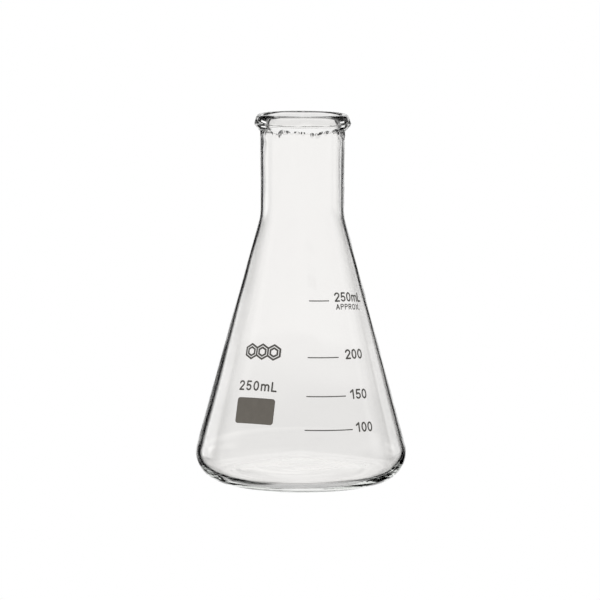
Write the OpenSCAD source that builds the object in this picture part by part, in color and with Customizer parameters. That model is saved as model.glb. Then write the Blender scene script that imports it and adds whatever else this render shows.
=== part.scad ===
// Conical (Erlenmeyer) flask with a narrow neck, a reinforced rim and fired enamel markings.
// Origin: centre of the base circle, on the surface that the flask stands on. +Z is up the
// axis, and the printed scale faces -Y.

/* [Body] */
// Largest outside diameter, across the heel
body_d = 85; // [70:1:100]
// Overall height
total_h = 147.6; // [142:0.2:160]
// Angle between the cone's wall and the axis
cone_angle = 15.2; // [14:0.1:17]
// Outside radius of the heel
heel_r = 11; // [8:0.5:13]
// Radius of the blend between the cone and the neck
shoulder_r = 20; // [10:1:30]

/* [Neck and rim] */
// Outside diameter at the bottom of the neck
neck_d = 33.6; // [33:0.1:36]
// How much the outside diameter grows up to the rim
neck_flare = 0.5; // [0:0.1:1]
// Diameter of the mouth's straight bore
bore_d = 31; // [28:0.5:31.5]
// Diameter of the rolled rim
rim_d = 38.9; // [37:0.1:42]
// Height of the rolled rim
rim_h = 6.9; // [5:0.1:9]

/* [Walls] */
// Wall of the cone, square to its surface
wall = 1.1; // [1:0.1:1.5]
// Wall just above the heel, square to its surface
wall_low = 1.6; // [1.6:0.1:2]
// Height at which the wall starts to thicken towards the heel
thicken_z = 55; // [50:1:70]
// Thickness of the floor
floor_t = 2.4; // [2:0.1:3]
// Inside radius of the heel
inner_heel_r = 8.6; // [6:0.1:9]
// How far the middle of the base is pushed up
push_up = 3.4; // [1:0.1:4]
// Inner radius of the ring that the flask stands on
foot_r = 27.5; // [24:0.5:28]

/* [Scale] */
// Heights of the four graduation lines
line_z = [25.8, 38.7, 53.6, 75.4]; // [20:0.1:80]
// Thickness of a graduation line
line_w = 0.42; // [0.3:0.02:0.8]
// Where the lowest line starts, in degrees round from the front
line_start = 2.1; // [-5:0.1:10]
// Where the lowest line ends
line_end = 31.6; // [20:0.1:35]
// How far the lines fall to the right, in degrees
line_tilt = 1.5; // [0:0.1:2]
// Where the number beside each line starts
number_start = [33.8, 32.9, 33.8, 31.1]; // [28:0.1:36]
// Height of the numbers beside the three lower lines, and of the capacity text
number_h = 4; // [3:0.1:5]
// Height of the number beside the top line
top_number_h = 3.8; // [3:0.1:4]
// Height of the small word under the top number
small_h = 2.3; // [1.8:0.1:3]

/* [Marking panel] */
// Direction of the panel's centre, in degrees round from the front
panel_dir = -30.1; // [-50:0.1:50]
// Width of the write-on patch
patch_w = 17.1; // [12:0.1:20]
// Height of the write-on patch
patch_h = 10.3; // [8:0.1:12]
// Height of the patch's centre above the base
patch_z = 32.6; // [30:0.1:35]
// Height of the capacity text's centre above the base
capacity_z = 42.2; // [41:0.1:45]
// Height of the ring emblem's centre above the base
emblem_z = 55.4; // [50:0.1:60]
// Height of the ring emblem
emblem_h = 6.7; // [5:0.1:7]
// Thickness of the fired enamel
enamel_t = 0.06; // [0.04:0.01:0.1]

/* [Hidden] */

GLASS = [0.86, 0.92, 0.92, 0.4];
ENAMEL = [0.46, 0.44, 0.40];

// Largest turn, in degrees, between two neighbouring points of a rounded outline
arc_step = 5;
round_fn = 96;

neck_r = neck_d / 2;
bore_r = bore_d / 2;
heel_x = body_d / 2 - heel_r;

// Radius of the cone at height z, where inset is how far inside its outer surface
function cone_r(z, inset = 0) =
    heel_x + (heel_r - inset - (z - heel_r) * sin(cone_angle)) / cos(cone_angle);
// Height at which the cone reaches radius r
function cone_z(r, inset = 0) =
    heel_r + ((heel_x - r) * cos(cone_angle) + heel_r - inset) / sin(cone_angle);

// --- Outlines with rounded corners ---

function unit(v) = v / norm(v);
function turn(a) = a > 180 ? a - 360 : a < -180 ? a + 360 : a;

// Points of the arc of radius r that rounds the corner p between its neighbours a and b
function corner(a, p, b, r) =
    let (
        u = unit(a - p),
        v = unit(b - p),
        half = acos(u * v) / 2,
        centre = p + unit(u + v) * r / sin(half),
        from = p + u * r / tan(half) - centre,
        to = p + v * r / tan(half) - centre,
        start = atan2(from.y, from.x),
        sweep = turn(atan2(to.y, to.x) - start),
        steps = ceil(abs(sweep) / arc_step)
    )
    [for (i = [0:steps]) centre + r * [cos(start + sweep * i / steps), sin(start + sweep * i / steps)]];

// An outline from a list of [x, y, corner radius]
function rounded(list) = [
    for (i = [0:len(list) - 1])
        let (
            last = len(list) - 1,
            p = list[i],
            a = list[i == 0 ? last : i - 1],
            b = list[i == last ? 0 : i + 1]
        )
        each p.z == 0 ? [[p.x, p.y]] : corner([a.x, a.y], [p.x, p.y], [b.x, b.y], p.z)
];

// --- Glass ---

// Where the flat of the push-up ends
push_flat_r = 15;
// Height at which the rim meets the neck, and the corner that its widest part rounds off
rim_z = total_h - rim_h;
rim_corner = [rim_d / 2 + 0.3, rim_z + rim_h * 0.38];
rim_top_r = rim_d / 2 - 1.05;
// Height of the inside of the heel above the base
inner_heel_z = floor_t + 0.3;
// The bore is straight up to this far below the top
mouth_h = 2.6;

outside = [
    [0, push_up, 0],
    [push_flat_r, push_up, 50],
    [foot_r, 0, 12],
    [cone_r(0), 0, heel_r],
    [neck_r, cone_z(neck_r), shoulder_r],
    [neck_r + neck_flare / 2, rim_z, 0.7],
    [rim_corner.x, rim_corner.y, 1.9],
    [rim_top_r, total_h, 2]
];

inside = [
    [bore_r + 0.3, total_h, 1.2],
    [bore_r, total_h - mouth_h, 0],
    [bore_r, cone_z(bore_r, wall), shoulder_r - wall],
    [cone_r(thicken_z, wall), thicken_z, 150],
    [cone_r(inner_heel_z, wall_low), inner_heel_z, inner_heel_r],
    [foot_r + 1, inner_heel_z, 14],
    [push_flat_r, push_up + floor_t, 50],
    [0, push_up + floor_t, 0]
];

module glass_body() {
    color(GLASS)
    rotate_extrude($fn = round_fn)
    polygon(rounded(concat(outside, inside)));
}

// --- Enamel on the cone ---

// The skin of enamel on the cone between two heights
module skin(z0, z1) {
    rotate_extrude($fn = round_fn)
    polygon([
        [cone_r(z0), z0],
        [cone_r(z0, -enamel_t), z0],
        [cone_r(z1, -enamel_t), z1],
        [cone_r(z1), z1]
    ]);
}

// Prints the 2D children on the cone, with their origin at direction dir and height z, and
// turned by tilt. The children are at most 2 * reach high, and bow back by less than reach.
module printed(dir, z, tilt = 0, reach = 6) {
    color(ENAMEL)
    intersection() {
        skin(z - reach, z + reach);
        rotate([0, 0, dir])
        translate([0, -cone_r(z), z])
        rotate([90 - cone_angle, 0, 0])
        rotate([0, 0, tilt])
        translate([0, 0, -reach])
        linear_extrude(reach + 1)
        children();
    }
}

// A line round the cone between two directions, at height z on the axis and tilted down to
// the right
module ring_line(z, from, to) {
    far = cone_r(z) * 2;
    half = (to - from) / 2;
    color(ENAMEL)
    intersection() {
        skin(z - 2 * line_w, z + 2 * line_w);
        rotate([0, 0, (from + to) / 2])
        translate([0, 0, z])
        rotate([0, line_tilt, 0])
        translate([0, 0, -line_w / 2])
        linear_extrude(line_w)
        polygon([
            [0, 0],
            for (a = [-half, 0, half]) far * [sin(a), -cos(a)]
        ]);
    }
}

// --- Lettering, in units of the capital height ---

stroke = 0.17;
digit_w = 0.66;
stop_w = 0.24;
letter_gap = 0.11;
bowl_r = (digit_w - stroke) / 2;

function normal(a, b) = [a.y - b.y, b.x - a.x] / norm(b - a);
function mitre(path, i) =
    let (
        last = len(path) - 1,
        before = normal(path[max(i - 1, 0)], path[max(i, 1)]),
        after = normal(path[min(i, last - 1)], path[min(i + 1, last)]),
        sum = before + after
    )
    sum / (sum * sum);
function arc(centre, size, from, to, steps = 12) = [
    for (i = [0:steps])
        let (a = from + (to - from) * i / steps)
        centre + [size.x * cos(a), size.y * sin(a)]
];

// A stroke of constant width along a path
module pen(path) {
    last = len(path) - 1;
    polygon(concat(
        [for (i = [0:last]) path[i] + stroke * mitre(path, i)],
        [for (i = [last:-1:0]) path[i] - stroke * mitre(path, i)]
    ));
}

module oval(width) {
    centre = [width / 2, 0.5];
    difference() {
        polygon(arc(centre, [width / 2, 0.5], 0, 350, 35));
        polygon(arc(centre, [width / 2 - stroke, 0.5 - stroke], 0, 350, 35));
    }
}

module full_stop() {
    translate([stop_w / 2, stroke / 2])
    circle(stroke / 2, $fn = 12);
}

module digit_1() {
    pen([[0.42, 0], [0.42, 1]]);
    pen([[0.44, 0.92], [0.1, 0.69]]);
}

module digit_2() {
    low = stroke / 2;
    pen(concat(arc([digit_w / 2, 0.69], [bowl_r, 0.31 - low], 170, -30), [[0.1, low + 0.04]]));
    pen([[0.02, low], [digit_w, low]]);
}

module digit_5() {
    pen([[0.6, 1 - stroke / 2], [0.16, 1 - stroke / 2], [0.11, 0.47]]);
    pen(arc([digit_w / 2 - 0.01, 0.33], [bowl_r, 0.33 - stroke / 2], 145, -150));
}

module letter_m() {
    x_height = 0.74;
    arch_r = 0.19;
    spring = 0.5;
    pen([[stroke / 2, 0], [stroke / 2, x_height]]);
    for (i = [0:1]) {
        middle = stroke / 2 + arch_r * (1 + 2 * i);
        top = arc([middle, spring], [arch_r, x_height - spring - stroke / 2], 165, 0);
        pen(concat(top, [[middle + arch_r, 0]]));
    }
}

module letter_L() {
    pen([[stroke / 2, 1], [stroke / 2, stroke / 2], [0.6, stroke / 2]]);
}

module letter_A() {
    pen([[0.06, 0], [0.4, 1]]);
    pen([[0.74, 0], [0.4, 1]]);
    pen([[0.17, 0.34], [0.63, 0.34]]);
}

module letter_P() {
    waist = 0.5;
    bowl = arc([0.42, (1 + waist) / 2 - stroke / 4], [0.22, (1 - waist) / 2 - stroke / 4], 90, -90);
    pen([[stroke / 2, 0], [stroke / 2, 1]]);
    pen(concat([[stroke / 2, bowl[0].y]], bowl, [[stroke / 2, bowl[len(bowl) - 1].y]]));
}

module letter_R() {
    letter_P();
    pen([[0.38, 0.45], [0.66, 0]]);
}

module letter_X() {
    pen([[0.06, 0], [0.66, 1]]);
    pen([[0.66, 0], [0.06, 1]]);
}

function letter_w(c) = c == "m" ? 0.915 : c == "L" ? 0.6 : c == "1" ? 0.6 : c == "A" ? 0.8
    : c == "O" ? 0.84 : c == "X" || c == "P" || c == "R" ? 0.72 : c == "." ? stop_w : digit_w;
// Distance from the text's left edge to the left edge of letter i
function letter_x(word, i, gap) = i == 0 ? 0 : letter_x(word, i - 1, gap) + letter_w(word[i - 1]) + gap;
function word_w(word, gap = letter_gap) = letter_x(word, len(word), gap) - gap;

module letter(c) {
    if (c == "0") oval(digit_w);
    if (c == "1") digit_1();
    if (c == "2") digit_2();
    if (c == "5") digit_5();
    if (c == "m") letter_m();
    if (c == "L") letter_L();
    if (c == "A") letter_A();
    if (c == "P") letter_P();
    if (c == "R") letter_R();
    if (c == "O") oval(letter_w("O"));
    if (c == "X") letter_X();
    if (c == ".") full_stop();
}

// A word of height h, centred on the origin
module lettering(word, h, gap = letter_gap) {
    scale(h)
    translate([-word_w(word, gap) / 2, -0.5])
    for (i = [0:len(word) - 1])
        translate([letter_x(word, i, gap), 0])
        letter(word[i]);
}

// --- The scale ---

// The lines start later and end sooner as the cone narrows, by this many degrees per mm
start_drift = 0.088;
end_drift = 0.13;
// How far each number stands above its line
number_lift = [0.3, 0.15, 0.6, 0.75];
// The numbers lean as the print wraps round the cone
number_tilt = -3.2;
top_number_tilt = -5.4;
// The small word stands this far below the top number, and starts this many degrees later
small_drop = 3.75;
small_shift = 0.3;
small_gap = 0.17;

module graduation_line(i) {
    rise = line_z[i] - line_z[0];
    ring_line(line_z[i], line_start + start_drift * rise, line_end - end_drift * rise);
}

// Direction of the centre of a word that starts at direction start
function word_dir(word, h, z, start, gap = letter_gap) =
    start + word_w(word, gap) * h / 2 / cone_r(z) * 180 / PI;

module number(word, i, h, tilt) {
    z = line_z[i] + number_lift[i];
    printed(word_dir(word, h, z, number_start[i]), z, tilt)
    lettering(word, h);
}

module approx_text() {
    word = "APPROX.";
    z = line_z[3] + number_lift[3] - small_drop;
    start = number_start[3] + small_shift;
    printed(word_dir(word, small_h, z, start, small_gap), z, top_number_tilt)
    lettering(word, small_h, small_gap);
}

// --- The marking panel ---

panel_tilt = 1.6;
patch_corner_r = 1.2;
emblem_line = 0.75;
// Size of the emblem's inner rings, as a fraction of the outer ones
inner_ring = 0.62;

module marking_patch() {
    x = patch_w / 2;
    y = patch_h / 2;
    corners = [[-x, -y], [x, -y], [x, y], [-x, y]];
    printed(panel_dir, patch_z, panel_tilt, patch_h)
    polygon(rounded([for (c = corners) [c.x, c.y, patch_corner_r]]));
}

// The capacity text is spaced more widely, and its middle is this many degrees further left
capacity_gap = 0.2;
capacity_shift = 0.3;

module capacity_text() {
    printed(panel_dir - capacity_shift, capacity_z, panel_tilt)
    lettering("250mL", number_h, capacity_gap);
}

// A hexagonal ring that stands on a corner, where r is its corner radius
module hexagon(r, w) {
    rotate(30)
    difference() {
        circle(r, $fn = 6);
        circle(r - w / cos(30), $fn = 6);
    }
}

// Three fused hexagons, each with a smaller ring in it
module ring_emblem() {
    r = emblem_h / 2;
    pitch = 2 * r * cos(30) - emblem_line;
    printed(panel_dir, emblem_z, panel_tilt)
    for (i = [-1:1])
        translate([i * pitch, 0])
        for (size = [r, inner_ring * r])
            hexagon(size, emblem_line);
}

glass_body();
marking_patch();
capacity_text();
ring_emblem();
graduation_line(0);  // graduation_line_100
graduation_line(1);  // graduation_line_150
graduation_line(2);  // graduation_line_200
graduation_line(3);  // graduation_line_250
number("100", 0, number_h, number_tilt);  // graduation_number_100
number("150", 1, number_h, number_tilt);  // graduation_number_150
number("200", 2, number_h, number_tilt);  // graduation_number_200
number("250mL", 3, top_number_h, top_number_tilt);  // graduation_number_250
approx_text();
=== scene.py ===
# A 250 mL conical flask of clear glass on a white floor. A large tent of light round it, bright
# behind the flask and dark beside it, gives the glass its pale walls and its dark outline.
import math
from collections import namedtuple

import bpy
import numpy as np
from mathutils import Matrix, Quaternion, Vector


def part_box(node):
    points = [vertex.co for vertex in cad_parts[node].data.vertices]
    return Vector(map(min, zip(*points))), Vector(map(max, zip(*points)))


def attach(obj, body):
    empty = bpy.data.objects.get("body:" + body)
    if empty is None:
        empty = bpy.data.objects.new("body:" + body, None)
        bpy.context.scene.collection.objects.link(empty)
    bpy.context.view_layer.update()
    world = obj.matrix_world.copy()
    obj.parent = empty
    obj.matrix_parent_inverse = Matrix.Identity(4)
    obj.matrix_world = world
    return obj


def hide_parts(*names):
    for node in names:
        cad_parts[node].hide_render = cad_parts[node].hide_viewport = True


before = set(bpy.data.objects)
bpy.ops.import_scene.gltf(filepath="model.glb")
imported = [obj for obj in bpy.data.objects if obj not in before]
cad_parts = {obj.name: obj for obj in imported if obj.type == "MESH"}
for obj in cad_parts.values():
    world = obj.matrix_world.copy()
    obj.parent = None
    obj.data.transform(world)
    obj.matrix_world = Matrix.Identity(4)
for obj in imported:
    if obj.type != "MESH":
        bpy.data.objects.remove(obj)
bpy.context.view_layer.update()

MM = 0.001

# --- The flask's sizes, in mm, as in the CAD model ---

glass_low, glass_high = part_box("glass_body")
TOTAL_H = glass_high[2] / MM
BODY_R = (glass_high[0] - glass_low[0]) / 2 / MM
CONE = math.radians(15.2)
CONE_COS = math.cos(CONE)
CONE_SIN = math.sin(CONE)
HEEL_R = 11
HEEL_X = BODY_R - HEEL_R
SHOULDER_R = 20

NECK_R = 16.8
NECK_FLARE = 0.25
BORE_R = 15.5
MOUTH_H = 2.6
RIM_R = 19.45
RIM_H = 6.9
RIM_Z = TOTAL_H - RIM_H
RIM_CORNER_R = RIM_R + 0.3
RIM_CORNER_Z = RIM_Z + RIM_H * 0.38
RIM_TOP_R = RIM_R - 1.05

WALL = 1.1
WALL_LOW = 1.6
THICKEN_Z = 55
FLOOR_T = 2.4
INNER_HEEL_R = 8.6
INNER_HEEL_Z = FLOOR_T + 0.3
PUSH_UP = 3.4
PUSH_FLAT_R = 15
FOOT_R = 27.5


def cone_r(z, inset=0):
    """Radius of the cone at height z, inset inside its outer surface."""
    return HEEL_X + (HEEL_R - inset - (z - HEEL_R) * CONE_SIN) / CONE_COS


def cone_z(r, inset=0):
    """Height at which the cone reaches radius r."""
    return HEEL_R + ((HEEL_X - r) * CONE_COS + HEEL_R - inset) / CONE_SIN


# --- The outline that the glass is turned from ---

ARC_STEP = math.radians(3)
COARSE_STEP = 1.2
FINE_STEP = 0.3
FINE_Z = RIM_Z - 9

# Radius, height and corner radius, from under the base up to the rim
outside_corners = [
    (0, PUSH_UP, 0),
    (PUSH_FLAT_R, PUSH_UP, 50),
    (FOOT_R, 0, 12),
    (cone_r(0), 0, HEEL_R),
    (NECK_R, cone_z(NECK_R), SHOULDER_R),
    (NECK_R + NECK_FLARE, RIM_Z, 0.7),
    (RIM_CORNER_R, RIM_CORNER_Z, 1.9),
    (RIM_TOP_R, TOTAL_H, 2),
]
# The same from the rim down to the middle of the floor
inside_corners = [
    (BORE_R + 0.3, TOTAL_H, 1.2),
    (BORE_R, TOTAL_H - MOUTH_H, 0),
    (BORE_R, cone_z(BORE_R, WALL), SHOULDER_R - WALL),
    (cone_r(THICKEN_Z, WALL), THICKEN_Z, 150),
    (cone_r(INNER_HEEL_Z, WALL_LOW), INNER_HEEL_Z, INNER_HEEL_R),
    (FOOT_R + 1, INNER_HEEL_Z, 14),
    (PUSH_FLAT_R, PUSH_UP + FLOOR_T, 50),
    (0, PUSH_UP + FLOOR_T, 0),
]


def corner(before, at, after, radius):
    """Points of the arc that rounds the corner at between its neighbours."""
    u = (before - at) / np.linalg.norm(before - at)
    v = (after - at) / np.linalg.norm(after - at)
    half = math.acos(u @ v) / 2
    centre = at + (u + v) / np.linalg.norm(u + v) * radius / math.sin(half)
    start = at + u * radius / math.tan(half) - centre
    end = at + v * radius / math.tan(half) - centre
    first = math.atan2(start[1], start[0])
    sweep = (math.atan2(end[1], end[0]) - first + math.pi) % (2 * math.pi) - math.pi
    steps = math.ceil(abs(sweep) / ARC_STEP)
    turns = first + sweep * np.arange(steps + 1) / steps
    return centre + radius * np.stack([np.cos(turns), np.sin(turns)], 1)


def rounded(corners):
    """The outline through these corners, open at both ends."""
    points = []
    for i, (r, z, radius) in enumerate(corners):
        at = np.array([r, z], float)
        if radius == 0:
            points.append(at)
        else:
            before = np.array(corners[i - 1][:2], float)
            after = np.array(corners[i + 1][:2], float)
            points.extend(corner(before, at, after, radius))
    return points


def subdivided(points):
    """The same outline in short steps, which are finer at the rim and the top of the neck."""
    out = [points[0]]
    for a, b in zip(points[:-1], points[1:]):
        step = FINE_STEP if (a[1] + b[1]) / 2 > FINE_Z else COARSE_STEP
        count = max(1, math.ceil(np.linalg.norm(b - a) / step))
        out.extend(a + (b - a) * k / count for k in range(1, count + 1))
    return np.array(out)


outline = subdivided(rounded(outside_corners + inside_corners))


# --- Unevenness of hand-finished glass, in mm ---

def hump(x, centre, width):
    """1 at the centre, and falling away smoothly over the width on either side."""
    return np.exp(-(((x - centre) / width) ** 2))


def ramp(x, low, high):
    """0 up to low and 1 from high on."""
    t = np.clip((x - low) / (high - low), 0, 1)
    return t * t * (3 - 2 * t)


def plateau(x, up_from, up_to, down_from, down_to):
    """1 in the middle, with a ramp up to it and a ramp down from it."""
    return ramp(x, up_from, up_to) * (1 - ramp(x, down_from, down_to))


class Ripple:
    """A smooth random function of direction (radians) and distance (mm), repeatable by seed.

    It is a sum of waves, each with lowest to highest humps in a full turn.
    """

    def __init__(self, seed, waves, lowest, highest, wavelength):
        rng = np.random.default_rng(seed)
        self.turns = rng.integers(lowest, highest + 1, waves)
        self.phase = rng.uniform(0, 2 * math.pi, waves)
        self.drift = rng.normal(0, 2 * math.pi / wavelength, waves)
        self.scale = math.sqrt(2 / waves)

    def __call__(self, theta, distance):
        height = 0
        for turns, phase, drift in zip(self.turns, self.phase, self.drift):
            height = height + np.cos(turns * theta + drift * distance + phase)
        return height * self.scale


# The crease where the rim is rolled onto the neck
crease_depth = Ripple(seed=11, waves=24, lowest=8, highest=60, wavelength=30)
crease_height = Ripple(seed=12, waves=14, lowest=3, highest=20, wavelength=40)
CREASE_Z = RIM_Z + 0.25
CREASE_WANDER = 0.4
CREASE_DEPTH = 0.6
CREASE_DEPTH_SPREAD = 0.5
CREASE_LEAST = 0.1
CREASE_MOST = 1.2
CREASE_W = 0.42

# The rim only swells inwards, so that it stays inside the CAD model's
rim_swell = Ripple(seed=13, waves=8, lowest=1, highest=7, wavelength=12)
RIM_SWELL = 0.05
RIM_SWELL_MOST = 1.75
RIM_SWELL_H = 2

neck_waves = Ripple(seed=14, waves=12, lowest=2, highest=12, wavelength=3.2)
OUTER_NECK_WAVE = 0.01
OUTER_NECK_Z = RIM_Z - 4
OUTER_NECK_H = 3
INNER_NECK_WAVE = 0.03
INNER_NECK_Z = RIM_Z - 2
INNER_NECK_H = 4

wall_waves = Ripple(seed=15, waves=10, lowest=1, highest=5, wavelength=30)
WALL_WAVE = 0.015
WALL_ZONE = (8, 20, 125, 140)

floor_waves = Ripple(seed=16, waves=10, lowest=0, highest=3, wavelength=7)
FLOOR_WAVE = 0.03
FLOOR_TOP = (6, 9)
FLOOR_MIDDLE = (1, 6)

# The wall is thicker on the left in the lower half, and on the right further up
LEFT_EXTRA = 0.22
LEFT_ZONE = (6, 14, 35, 90)
RIGHT_EXTRA = 0.12
RIGHT_ZONE = (80, 110, 130, 142)


def outer_offset(theta, z):
    """How far the outer surface stands off the outline."""
    crease_z = CREASE_Z + CREASE_WANDER * crease_height(theta, z)
    depth = CREASE_DEPTH + CREASE_DEPTH_SPREAD * crease_depth(theta, z)
    crease = -np.clip(depth, CREASE_LEAST, CREASE_MOST) * hump(z, crease_z, CREASE_W)
    swell = RIM_SWELL * (rim_swell(theta, z) - RIM_SWELL_MOST) * ramp(z, RIM_Z, RIM_Z + RIM_SWELL_H)
    neck = OUTER_NECK_WAVE * neck_waves(theta, z) * hump(z, OUTER_NECK_Z, OUTER_NECK_H)
    return crease + swell + neck


def inner_offset(theta, r, z):
    """How far the inner surface stands off the outline."""
    wall = WALL_WAVE * wall_waves(theta, z) * plateau(z, *WALL_ZONE)
    neck = INNER_NECK_WAVE * neck_waves(theta, z) * hump(z, INNER_NECK_Z, INNER_NECK_H)
    floor = FLOOR_WAVE * floor_waves(theta, r) * (1 - ramp(z, *FLOOR_TOP)) * ramp(r, *FLOOR_MIDDLE)
    thicker_left = -LEFT_EXTRA * np.sin(theta) * plateau(z, *LEFT_ZONE)
    thicker_right = RIGHT_EXTRA * np.sin(theta) * plateau(z, *RIGHT_ZONE)
    return wall + neck + floor + thicker_left + thicker_right


# --- Meshes ---

def new_piece(name, node, slot, vertices, faces):
    """A smooth mesh, from vertices in mm, that stands for a CAD node and rides with it."""
    mesh = bpy.data.meshes.new(name)
    mesh.from_pydata([tuple(vertex) for vertex in vertices * MM], [], faces)
    mesh.validate()
    mesh.shade_smooth()
    mesh.materials.append(materials[slot])
    piece = bpy.data.objects.new(name, mesh)
    bpy.context.collection.objects.link(piece)
    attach(piece, "root")
    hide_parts(node)
    return piece


SEGMENTS = 384


def glass_mesh():
    """The flask's vertices and faces, turned from the outline."""
    profile = outline[1:-1]
    tangent = np.gradient(profile, axis=0)
    tangent /= np.linalg.norm(tangent, axis=1)[:, None]
    normal = np.stack([tangent[:, 1], -tangent[:, 0]], 1)
    # The outer surface ends at the outermost of the highest points
    is_highest = profile[:, 1] > TOTAL_H - 1e-6
    top = int(np.argmax(is_highest))
    theta = np.arange(SEGMENTS) * 2 * math.pi / SEGMENTS
    rings = []
    for i, ((r, z), (outward, upward)) in enumerate(zip(profile, normal)):
        offset = outer_offset(theta, z) if i <= top else inner_offset(theta, r, z)
        ring_r = r + outward * offset
        rings.append(np.stack([ring_r * np.sin(theta), -ring_r * np.cos(theta), z + upward * offset], 1))
    middles = [[0, 0, outline[0][1]], [0, 0, outline[-1][1]]]
    vertices = np.concatenate(rings + [middles])

    under = len(rings) * SEGMENTS
    floor = under + 1
    last = under - SEGMENTS
    faces = []
    for j in range(SEGMENTS):
        k = (j + 1) % SEGMENTS
        faces.append((under, k, j))
        for ring in range(0, last, SEGMENTS):
            following = ring + SEGMENTS
            faces.append((ring + j, ring + k, following + k, following + j))
        faces.append((last + j, last + k, floor))
    return vertices, faces


# --- Lettering: pen strokes, in units of the capital height ---

STROKE = 0.17
EDGE = STROKE / 2
LOW = EDGE
HIGH = 1 - EDGE
DIGIT_W = 0.66
BOWL_R = DIGIT_W / 2 - EDGE
LETTER_GAP = 0.11


def arc(x, y, rx, ry, start, end, steps=16):
    """Points of an elliptical arc between two angles in degrees."""
    turns = np.radians(np.linspace(start, end, steps + 1))
    return [(x + rx * math.cos(t), y + ry * math.sin(t)) for t in turns]


def oval(width):
    return [arc(width / 2, 0.5, width / 2 - EDGE, 0.5 - EDGE, 0, 360, 40)]


def letter_m():
    arch_r, spring, x_height = 0.19, 0.5, 0.74
    strokes = [[(EDGE, LOW), (EDGE, x_height - EDGE)]]
    for i in range(2):
        middle = EDGE + arch_r * (1 + 2 * i)
        arch = arc(middle, spring, arch_r, x_height - spring - EDGE, 165, 0)
        strokes.append(arch + [(middle + arch_r, LOW)])
    return strokes


def letter_p():
    bowl = arc(0.42, 0.72, 0.22, 0.2, 90, -90)
    return [[(EDGE, LOW), (EDGE, HIGH)], [(EDGE, bowl[0][1])] + bowl + [(EDGE, bowl[-1][1])]]


# Width and strokes of each letter
LETTERS = {
    "0": (DIGIT_W, oval(DIGIT_W)),
    "1": (0.6, [[(0.42, LOW), (0.42, HIGH)], [(0.42, HIGH), (0.13, 0.71)]]),
    "2": (DIGIT_W, [
        arc(DIGIT_W / 2, 0.69, BOWL_R, 0.31 - EDGE, 170, -30) + [(0.1, LOW + 0.02)],
        [(EDGE, LOW), (DIGIT_W - EDGE, LOW)],
    ]),
    "5": (DIGIT_W, [
        [(0.56, HIGH), (0.16, HIGH), (0.12, 0.5)],
        arc(DIGIT_W / 2 - 0.01, 0.33, BOWL_R, 0.33 - EDGE, 140, -150),
    ]),
    "m": (0.915, letter_m()),
    "L": (0.6, [[(EDGE, HIGH), (EDGE, LOW), (0.6 - EDGE, LOW)]]),
    "A": (0.8, [[(0.08, LOW), (0.4, HIGH), (0.72, LOW)], [(0.2, 0.34), (0.6, 0.34)]]),
    "P": (0.72, letter_p()),
    "R": (0.72, letter_p() + [[(0.38, 0.45), (0.62, LOW)]]),
    "O": (0.84, oval(0.84)),
    "X": (0.72, [[(0.08, LOW), (0.64, HIGH)], [(0.64, LOW), (0.08, HIGH)]]),
    ".": (0.24, [[(0.12, LOW), (0.12, LOW + 0.04)]]),
}


def word_width(word, gap):
    return sum(LETTERS[letter][0] for letter in word) + gap * (len(word) - 1)


def word_strokes(word, height, gap):
    """The word's strokes in mm, centred on the origin."""
    strokes = []
    x = -word_width(word, gap) / 2
    for letter in word:
        width, paths = LETTERS[letter]
        strokes += [[((x + px) * height, (py - 0.5) * height) for px, py in path] for path in paths]
        x += width + gap
    return strokes


# --- Flat shapes, each as a function that gives the signed distance to it, negative inside ---

def stroke_distance(strokes, width):
    """Round-ended strokes of this width."""
    segments = [(a, b) for path in strokes for a, b in zip(path[:-1], path[1:])]

    def distance(u, v):
        nearest = np.full(u.shape, np.inf)
        for (ax, ay), (bx, by) in segments:
            dx, dy = bx - ax, by - ay
            along = ((u - ax) * dx + (v - ay) * dy) / (dx * dx + dy * dy)
            t = np.clip(along, 0, 1)
            nearest = np.minimum(nearest, np.hypot(u - ax - t * dx, v - ay - t * dy))
        return nearest - width / 2

    return distance


def box_distance(width, height, radius):
    """A rectangle with rounded corners."""
    def distance(u, v):
        x = abs(u) - width / 2 + radius
        y = abs(v) - height / 2 + radius
        outside = np.hypot(np.maximum(x, 0), np.maximum(y, 0))
        return outside + np.minimum(np.maximum(x, y), 0) - radius

    return distance


# --- Ways to wrap a flat shape on the cone ---

SETTLE_PASSES = 4


def cone_point(a, z):
    """The point of the cone in direction a, in radians round from the front, and at height z."""
    return np.stack([cone_r(z) * np.sin(a), -cone_r(z) * np.cos(a), z], -1)


def cone_normal(p):
    r = np.hypot(p[:, 0], p[:, 1])
    return np.stack([p[:, 0] / r * CONE_COS, p[:, 1] / r * CONE_COS, np.full(len(p), CONE_SIN)], 1)


def on_cone(direction, height, tilt):
    """From the tangent plane at this direction (degrees) and height straight back to the cone."""
    a, lean = math.radians(direction), math.radians(tilt)
    out = np.array([math.sin(a) * CONE_COS, -math.cos(a) * CONE_COS, CONE_SIN])
    level = np.array([math.cos(a), math.sin(a), 0])
    steep = np.cross(out, level)
    right = level * math.cos(lean) + steep * math.sin(lean)
    up = steep * math.cos(lean) - level * math.sin(lean)
    centre = cone_point(a, height)

    def wrap(u, v, lift):
        p = centre + u[:, None] * right + v[:, None] * up
        for _ in range(SETTLE_PASSES):
            gap = (np.hypot(p[:, 0], p[:, 1]) - cone_r(p[:, 2])) * CONE_COS
            facing = cone_normal(p) @ out
            p = p - (gap / facing)[:, None] * out
        return p + lift[:, None] * cone_normal(p)

    return wrap


def round_cone(direction, height, tilt):
    """Round the cone at this height, on a plane that tilts down to the right."""
    fall = cone_r(height) * math.tan(math.radians(tilt))

    def wrap(u, v, lift):
        turn = u / cone_r(height)
        p = cone_point(math.radians(direction) + turn, height + v * CONE_COS - fall * np.sin(turn))
        return p + lift[:, None] * cone_normal(p)

    return wrap


# --- Enamel, in mm ---

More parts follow.
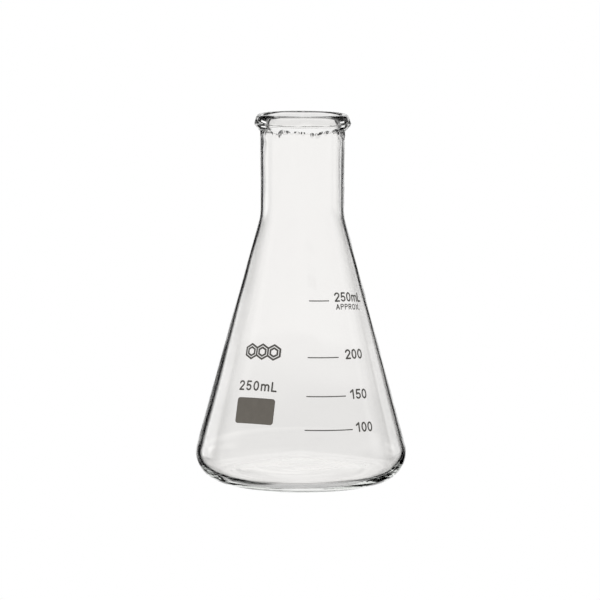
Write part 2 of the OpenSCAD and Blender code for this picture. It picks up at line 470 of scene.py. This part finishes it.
ENAMEL_T = 0.06
ENAMEL_SINK = 0.03
ENAMEL_ROUND = 0.12
FINE_GRID = 0.05
GRID = 0.07
COARSE_GRID = 0.12
ON_EDGE = 1e-4
# The print's ragged edge: a sum of waves, each with its slope along u, its slope along v and its phase
RAGGED = 0.012
RAGGED_WAVES = [(9.1, 4.3, 0), (-5.9, 7.7, 0), (15.3, 0, 1.7)]


def traced(distance, half_u, half_v, step):
    """The shape's points (u, v, depth inside its edge) and faces, cut from a square grid."""
    count_u = math.ceil(2 * half_u / step) + 2
    count_v = math.ceil(2 * half_v / step) + 2
    grid_u = (np.arange(count_u + 1) - count_u / 2) * step
    grid_v = (np.arange(count_v + 1) - count_v / 2) * step
    u, v = np.meshgrid(grid_u, grid_v, indexing="ij")
    d = distance(u, v) + RAGGED * sum(np.sin(a * u + b * v + phase) for a, b, phase in RAGGED_WAVES)
    d[abs(d) < ON_EDGE] = ON_EDGE
    inside = d < 0
    index, points, cells = {}, [], []

    def vertex(key, *point):
        if key not in index:
            index[key] = len(points)
            points.append(point)
        return index[key]

    is_busy = inside[:-1, :-1] | inside[1:, :-1] | inside[:-1, 1:] | inside[1:, 1:]
    for i, j in np.argwhere(is_busy):
        loop = [(i, j), (i + 1, j), (i + 1, j + 1), (i, j + 1)]
        cell = []
        for a, b in zip(loop, loop[1:] + loop[:1]):
            if inside[a]:
                cell.append(vertex(a, u[a], v[a], -d[a]))
            if inside[a] != inside[b]:
                t = d[a] / (d[a] - d[b])
                cut_u = u[a] + t * (u[b] - u[a])
                cut_v = v[a] + t * (v[b] - v[a])
                cell.append(vertex((min(a, b), max(a, b)), cut_u, cut_v, 0))
        cells.append(cell)
    return points, cells


def enamel(node, slot, distance, wrap, half_u, half_v, step=GRID):
    """A raised skin with rounded edges, wrapped on the cone, for a shape of this half size."""
    points, cells = traced(distance, half_u, half_v, step)
    u, v, depth = np.array(points).T
    swell = np.sqrt(1 - (1 - np.clip(depth / ENAMEL_ROUND, 0, 1)) ** 2)
    top = wrap(u, v, ENAMEL_T * swell)
    bottom = wrap(u, v, np.full(len(u), -ENAMEL_SINK))
    count = len(points)
    faces = [tuple(cell) for cell in cells]
    faces += [tuple(k + count for k in reversed(cell)) for cell in cells]
    edges = {(a, b): True for cell in cells for a, b in zip(cell, cell[1:] + cell[:1])}
    faces += [(b, a, a + count, b + count) for a, b in edges if (b, a) not in edges]
    piece = new_piece(f"{node}_enamel", node, slot, np.concatenate([top, bottom]), faces)
    depth_layer = piece.data.attributes.new("depth", "FLOAT", "POINT")
    depth_layer.data.foreach_set("value", np.concatenate([depth, depth]))


# --- Shader nodes ---

def put(tree, socket, value):
    """Sets the socket to a value, or links it to another node's output."""
    if isinstance(value, bpy.types.NodeSocket):
        tree.links.new(value, socket)
    else:
        socket.default_value = value


def add_node(tree, kind, values):
    """A new node of this kind, with a value or an output for each of the named sockets."""
    node = tree.nodes.new(f"ShaderNode{kind}")
    for name, value in values.items():
        put(tree, node.inputs[name], value)
    return node


def noise(tree, scale, detail, roughness=0.5):
    """Noise in the object's own coordinates, with scale in cycles per metre."""
    where = add_node(tree, "TexCoord", {}).outputs["Object"]
    values = {"Vector": where, "Scale": scale, "Detail": detail, "Roughness": roughness}
    return add_node(tree, "TexNoise", values).outputs["Fac"]


def ranged(tree, value, low, high, to_low, to_high):
    """The value, from low to high, brought to the range from to_low to to_high."""
    values = {"Value": value, "From Min": low, "From Max": high, "To Min": to_low, "To Max": to_high}
    return add_node(tree, "MapRange", values).outputs["Result"]


# A Mix node has its colours after its numbers and vectors
MIX_FACTOR, MIX_FIRST, MIX_SECOND = 0, 6, 7
MIX_RESULT = 2


def mixed(tree, factor, first, second):
    """The first colour where the factor is 0, and the second where it is 1."""
    node = tree.nodes.new("ShaderNodeMix")
    node.data_type = "RGBA"
    put(tree, node.inputs[MIX_FACTOR], factor)
    put(tree, node.inputs[MIX_FIRST], first)
    put(tree, node.inputs[MIX_SECOND], second)
    return node.outputs[MIX_RESULT]


def bumped(tree, height, strength, distance):
    values = {"Height": height, "Strength": strength, "Distance": distance}
    return add_node(tree, "Bump", values).outputs["Normal"]


def calculated(tree, operation, first, second=0.0):
    node = tree.nodes.new("ShaderNodeMath")
    node.operation = operation
    put(tree, node.inputs[0], first)
    put(tree, node.inputs[1], second)
    return node.outputs[0]


# --- Materials ---

def new_material(name):
    """A material, its node tree and its main shader."""
    material = bpy.data.materials.new(name)
    material.use_nodes = True
    tree = material.node_tree
    return material, tree, tree.nodes["Principled BSDF"]


def glass_material():
    """Clear borosilicate glass with a faint waviness."""
    material, tree, shader = new_material("clear_borosilicate_glass")
    put(tree, shader.inputs["Base Color"], (0.995, 0.988, 0.98, 1))
    put(tree, shader.inputs["Transmission Weight"], 1)
    put(tree, shader.inputs["IOR"], 1.473)
    put(tree, shader.inputs["Roughness"], 0)
    waves = noise(tree, scale=90, detail=2)
    put(tree, shader.inputs["Normal"], bumped(tree, waves, strength=0.03, distance=0.0004))
    absorption = add_node(tree, "VolumeAbsorption", {"Color": (0.90, 0.95, 0.91, 1), "Density": 8})
    put(tree, tree.nodes["Material Output"].inputs["Volume"], absorption.outputs["Volume"])
    return material


def enamel_material(name, dark, light, edge):
    """Matt fired enamel in painted shade: its colours are the grey-brown of white enamel lit from
    behind, with a fine grain, and a heavier deposit along its edges.
    """
    material, tree, shader = new_material(name)
    grain = noise(tree, scale=5200, detail=4, roughness=0.6)
    cloud = noise(tree, scale=260, detail=3)
    depth = add_node(tree, "Attribute", {})
    depth.attribute_name = "depth"
    body = mixed(tree, ranged(tree, cloud, 0.3, 0.7, 0, 1), dark, light)
    body = mixed(tree, ranged(tree, grain, 0.35, 0.75, 0, 0.35), body, edge)
    heavy = ranged(tree, depth.outputs["Fac"], 0.05, 0.4, 1, 0)
    put(tree, shader.inputs["Base Color"], mixed(tree, heavy, body, edge))
    put(tree, shader.inputs["Roughness"], ranged(tree, grain, 0.3, 0.7, 0.55, 0.8))
    put(tree, shader.inputs["Normal"], bumped(tree, grain, strength=0.35, distance=0.00002))
    return material


# Each slot's material
materials = {
    "glass": glass_material(),
    # Painted shade: the patch's white enamel is given the grey-brown it shows when lit from behind
    "patch_enamel": enamel_material(
        "patch_enamel",
        dark=(0.20, 0.18, 0.155, 1),
        light=(0.23, 0.21, 0.18, 1),
        edge=(0.13, 0.12, 0.10, 1),
    ),
    # Painted shade: the print's white enamel is given the grey-brown it shows when lit from behind
    "print_enamel": enamel_material(
        "print_enamel",
        dark=(0.125, 0.12, 0.105, 1),
        light=(0.15, 0.14, 0.125, 1),
        edge=(0.11, 0.105, 0.095, 1),
    ),
}

# --- The glass ---

new_piece("flask_glass", "glass_body", "glass", *glass_mesh())

# --- The marking panel: patch, capacity and emblem, in mm and degrees ---

PANEL_DIR = -30.1
PANEL_TILT = 1.6
PATCH_W = 17.1
PATCH_H = 10.3
PATCH_CORNER_R = 1.2
PATCH_Z = 32.6
NUMBER_H = 4
CAPACITY_DIR = PANEL_DIR - 0.3
CAPACITY_Z = 42.2
CAPACITY_GAP = 0.2
EMBLEM_Z = 55.4
EMBLEM_H = 6.7
EMBLEM_LINE = 0.75
EMBLEM_INNER = 0.62
EMBLEM_HALF_W = 8.6


def lettering(node, word, height, direction, z, tilt, gap=LETTER_GAP, step=GRID):
    """A printed word with its middle at this direction and height."""
    distance = stroke_distance(word_strokes(word, height, gap), STROKE * height)
    half_u = word_width(word, gap) * height / 2
    enamel(node, "print_enamel", distance, on_cone(direction, z, tilt), half_u, height / 2, step)


def hexagon(x, radius):
    corners = np.radians(np.arange(30, 391, 60))
    return [(x + radius * math.cos(a), radius * math.sin(a)) for a in corners]


def emblem_strokes():
    """Three fused hexagons, each with a smaller one in it."""
    outer = EMBLEM_H / 2 - EMBLEM_LINE / 2 / math.cos(math.radians(30))
    inner = EMBLEM_INNER * EMBLEM_H / 2 - EMBLEM_LINE / 2
    pitch = 2 * outer * math.cos(math.radians(30))
    return [hexagon(i * pitch, radius) for i in (-1, 0, 1) for radius in (outer, inner)]


enamel("marking_patch", "patch_enamel", box_distance(PATCH_W, PATCH_H, PATCH_CORNER_R),
       on_cone(PANEL_DIR, PATCH_Z, PANEL_TILT), PATCH_W / 2, PATCH_H / 2, COARSE_GRID)
lettering("capacity_text", "250mL", NUMBER_H, CAPACITY_DIR, CAPACITY_Z, PANEL_TILT, CAPACITY_GAP)
enamel("ring_emblem", "print_enamel", stroke_distance(emblem_strokes(), EMBLEM_LINE),
       on_cone(PANEL_DIR, EMBLEM_Z, PANEL_TILT), EMBLEM_HALF_W, EMBLEM_H / 2)

# --- The scale: lines, numbers and the small word, in mm and degrees ---

TOP_NUMBER_H = 3.8
NUMBER_TILT = -3.2
TOP_NUMBER_TILT = -5.4
LINE_W = 0.42
LINE_CORNER_R = 0.1
LINE_TILT = 1.5
# Where the lowest line starts and ends, and how much nearer the ends of the others are for each mm up
LINE_START = 2.1
LINE_END = 31.6
START_DRIFT = 0.088
END_DRIFT = 0.13
SMALL_H = 2.3
SMALL_GAP = 0.17
SMALL_DROP = 3.75
SMALL_SHIFT = 0.3

# A line's height, and the direction in which its number starts and how far that stands above it
Mark = namedtuple("Mark", "volume z number_start number_lift word number_h number_tilt")
MARKS = [
    Mark(100, 25.8, 33.8, 0.3, "100", NUMBER_H, NUMBER_TILT),
    Mark(150, 38.7, 32.9, 0.15, "150", NUMBER_H, NUMBER_TILT),
    Mark(200, 53.6, 33.8, 0.6, "200", NUMBER_H, NUMBER_TILT),
    Mark(250, 75.4, 31.1, 0.75, "250mL", TOP_NUMBER_H, TOP_NUMBER_TILT),
]


def lettering_from(start, node, word, height, z, tilt, gap=LETTER_GAP, step=GRID):
    """A printed word with its left end at the direction start."""
    direction = start + math.degrees(word_width(word, gap) * height / 2 / cone_r(z))
    lettering(node, word, height, direction, z, tilt, gap, step)


for mark in MARKS:
    above_first = mark.z - MARKS[0].z
    start = LINE_START + START_DRIFT * above_first
    end = LINE_END - END_DRIFT * above_first
    length = math.radians(end - start) * cone_r(mark.z)
    enamel(f"graduation_line_{mark.volume}", "print_enamel", box_distance(length, LINE_W, LINE_CORNER_R),
           round_cone((start + end) / 2, mark.z, LINE_TILT), length / 2, LINE_W / 2)
    lettering_from(mark.number_start, f"graduation_number_{mark.volume}", mark.word, mark.number_h,
                   mark.z + mark.number_lift, mark.number_tilt)

top_mark = MARKS[-1]
lettering_from(top_mark.number_start + SMALL_SHIFT, "approx_text", "APPROX.", SMALL_H,
               top_mark.z + top_mark.number_lift - SMALL_DROP, TOP_NUMBER_TILT, SMALL_GAP, FINE_GRID)

# --- Camera, in metres ---

CAMERA_AT = Vector((0, -1.3, 0.2405))
CAMERA_AIM = Vector((-0.0007, 0, 0.0726))
CAMERA_ROLL = math.radians(0.32)
LENS_MM = 195.5
SENSOR_MM = 36
SEES_TO = 20

scene = bpy.context.scene
camera = bpy.data.objects.new("camera", bpy.data.cameras.new("camera"))
bpy.context.collection.objects.link(camera)
camera.data.lens = LENS_MM
camera.data.sensor_width = SENSOR_MM
camera.data.clip_end = SEES_TO
camera.location = CAMERA_AT
camera.rotation_mode = "QUATERNION"
camera.rotation_quaternion = (CAMERA_AIM - CAMERA_AT).to_track_quat("-Z", "Y")
camera.rotation_quaternion @= Quaternion((0, 0, 1), CAMERA_ROLL)
scene.camera = camera

# --- Floor: white, evenly lit, and seen only directly ---

FLOOR_HALF = 4
FLOOR_Z = -0.0002


def glowing(name):
    """A white glowing material, its node tree and its emission."""
    material = bpy.data.materials.new(name)
    material.use_nodes = True
    tree = material.node_tree
    tree.nodes.clear()
    glow = add_node(tree, "Emission", {"Color": (1, 1, 1, 1)})
    add_node(tree, "OutputMaterial", {"Surface": glow.outputs["Emission"]})
    return material, tree, glow


def add_floor():
    mesh = bpy.data.meshes.new("floor")
    sides = (-FLOOR_HALF, FLOOR_HALF)
    mesh.from_pydata([(x, y, 0) for y in sides for x in sides], [], [(0, 1, 3, 2)])
    mesh.materials.append(glowing("white_floor")[0])
    floor = bpy.data.objects.new("floor", mesh)
    bpy.context.collection.objects.link(floor)
    floor.location.z = FLOOR_Z
    floor.visible_transmission = False
    floor.visible_glossy = False


add_floor()

# --- Light tent: a sphere round the flask that glows by direction, and that the camera doesn't see ---

TENT_R = 2.4
TENT_AHEAD = 1.25

# Directions in degrees, as low end, high end and how softly the glow ends beyond them.
# Azimuths are from straight ahead to the right, and elevations from level to up.
BEHIND = (-13, 15, 5)
WALL_UP = (-8, 90, 4)
PANEL_UP = (-2, 8, 4)
FRONT_UP = (-50, 50, 8)
# The wall behind the flask is a little darker near the bench
WALL_SHADE = (-3.6, -0.9, 0.845, 0.98)
# Each other part's azimuths, elevations and strength
TENT_PARTS = {
    "bench behind": (BEHIND, (-26, -12, 4), 0.93),
    "below": (BEHIND, (-90, -34, 8), 0.55),
    "front right": ((80, 181, 8), FRONT_UP, 0.5),
    "front left": ((-181, -80, 8), FRONT_UP, 0.5),
    "left panel": ((-62, -41, 4), PANEL_UP, 1.3),
    "far left panel": ((-100, -68, 8), (-2, 20, 4), 0.25),
    "right panel": ((40, 57, 4), PANEL_UP, 1.05),
    "right fill": ((66, 90, 6), (8, 22, 4), 0.4),
}


def window(tree, angle, low, high, soft):
    """1 between two angles in degrees, falling to 0 over soft degrees outside them."""
    start = ranged(tree, angle, math.radians(low - soft), math.radians(low), 0, 1)
    end = ranged(tree, angle, math.radians(high), math.radians(high + soft), 1, 0)
    return calculated(tree, "MULTIPLY", start, end)


def tent_material():
    material, tree, glow = glowing("light_tent")
    where = add_node(tree, "TexCoord", {}).outputs["Object"]
    unit = add_node(tree, "VectorMath", {})
    unit.operation = "NORMALIZE"
    put(tree, unit.inputs[0], where)
    axes = add_node(tree, "SeparateXYZ", {"Vector": unit.outputs["Vector"]})
    ahead = calculated(tree, "MULTIPLY", axes.outputs["Z"], -1)
    azimuth = calculated(tree, "ARCTAN2", axes.outputs["X"], ahead)
    elevation = calculated(tree, "ARCSINE", axes.outputs["Y"])

    def lit(azimuths, elevations, level):
        area = calculated(tree, "MULTIPLY", window(tree, azimuth, *azimuths),
                          window(tree, elevation, *elevations))
        return calculated(tree, "MULTIPLY", area, level)

    shade_low, shade_high, dim, bright = WALL_SHADE
    wall = ranged(tree, elevation, math.radians(shade_low), math.radians(shade_high), dim, bright)
    strength = lit(BEHIND, WALL_UP, wall)
    for part in TENT_PARTS.values():
        strength = calculated(tree, "ADD", strength, lit(*part))
    put(tree, glow.inputs["Strength"], strength)
    return material


bpy.ops.mesh.primitive_uv_sphere_add(segments=96, ring_count=48, radius=TENT_R)
tent = bpy.context.object
tent.name = "light_tent"
tent.data.materials.append(tent_material())
tent.parent = camera
tent.location = (0, 0, -TENT_AHEAD)
tent.visible_camera = False

# --- White room, and how the light is followed ---

scene.world = bpy.data.worlds.new("white_room")
scene.world.use_nodes = True
scene.world.node_tree.nodes["Background"].inputs["Color"].default_value = (1, 1, 1, 1)

scene.view_settings.view_transform = "Standard"

# Light that is trapped in the thick heel and rim needs many reflections to get out again
scene.cycles.max_bounces = 32
scene.cycles.glossy_bounces = 24
scene.cycles.transmission_bounces = 24
